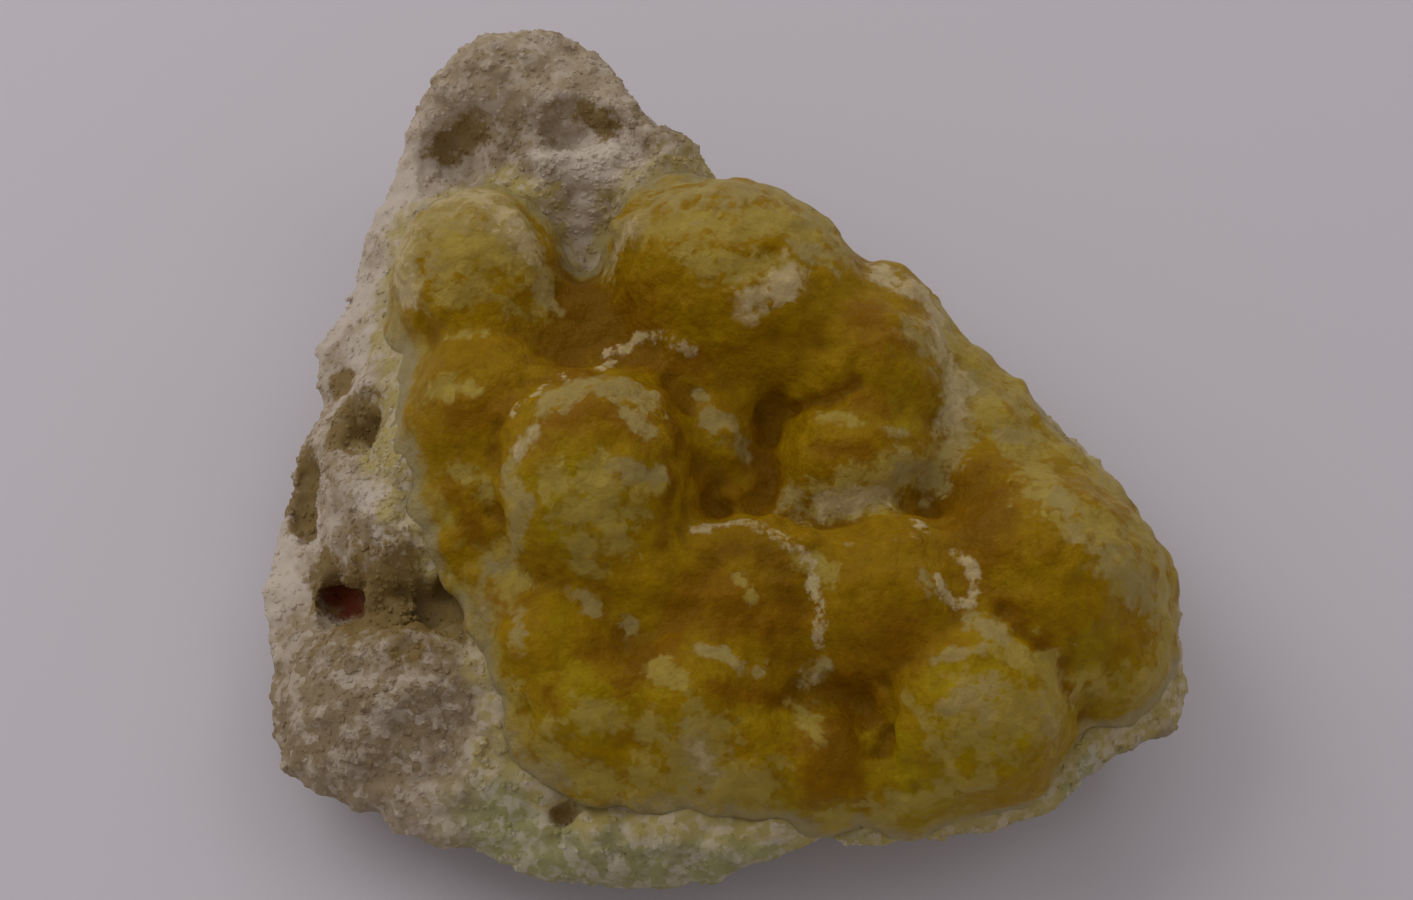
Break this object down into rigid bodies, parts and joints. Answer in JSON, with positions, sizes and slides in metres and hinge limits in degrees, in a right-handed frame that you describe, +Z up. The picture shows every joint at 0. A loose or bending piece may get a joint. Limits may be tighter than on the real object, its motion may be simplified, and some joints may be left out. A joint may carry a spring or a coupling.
{
  "type": "fluorite cluster on quartz matrix",
  "caption": "Loose hand specimen of honey-yellow botryoidal fluorite, its balls grown together into one crust, on a block of pale sugary quartz with a flat break to rest on.",
  "frame": {"origin": "under the middle of the specimen's box, in the plane of the flat break that it rests on", "axes": "+Z up from the flat break; +X to the right and +Y to the back, with the crust's face towards the viewer who looks along +Y and down"},
  "size_m": [0.0602, 0.0576, 0.0215],
  "materials": {
    "quartz": "broken, sugary, stained tan and brown in its pits",
    "fluorite": "translucent honey yellow, glossy to waxy, frosted cream on top"
  },
  "bodies": {
    "root": {"quartz_matrix": "quartz", "fluorite_crust": "fluorite"}
  },
  "joints": []
}
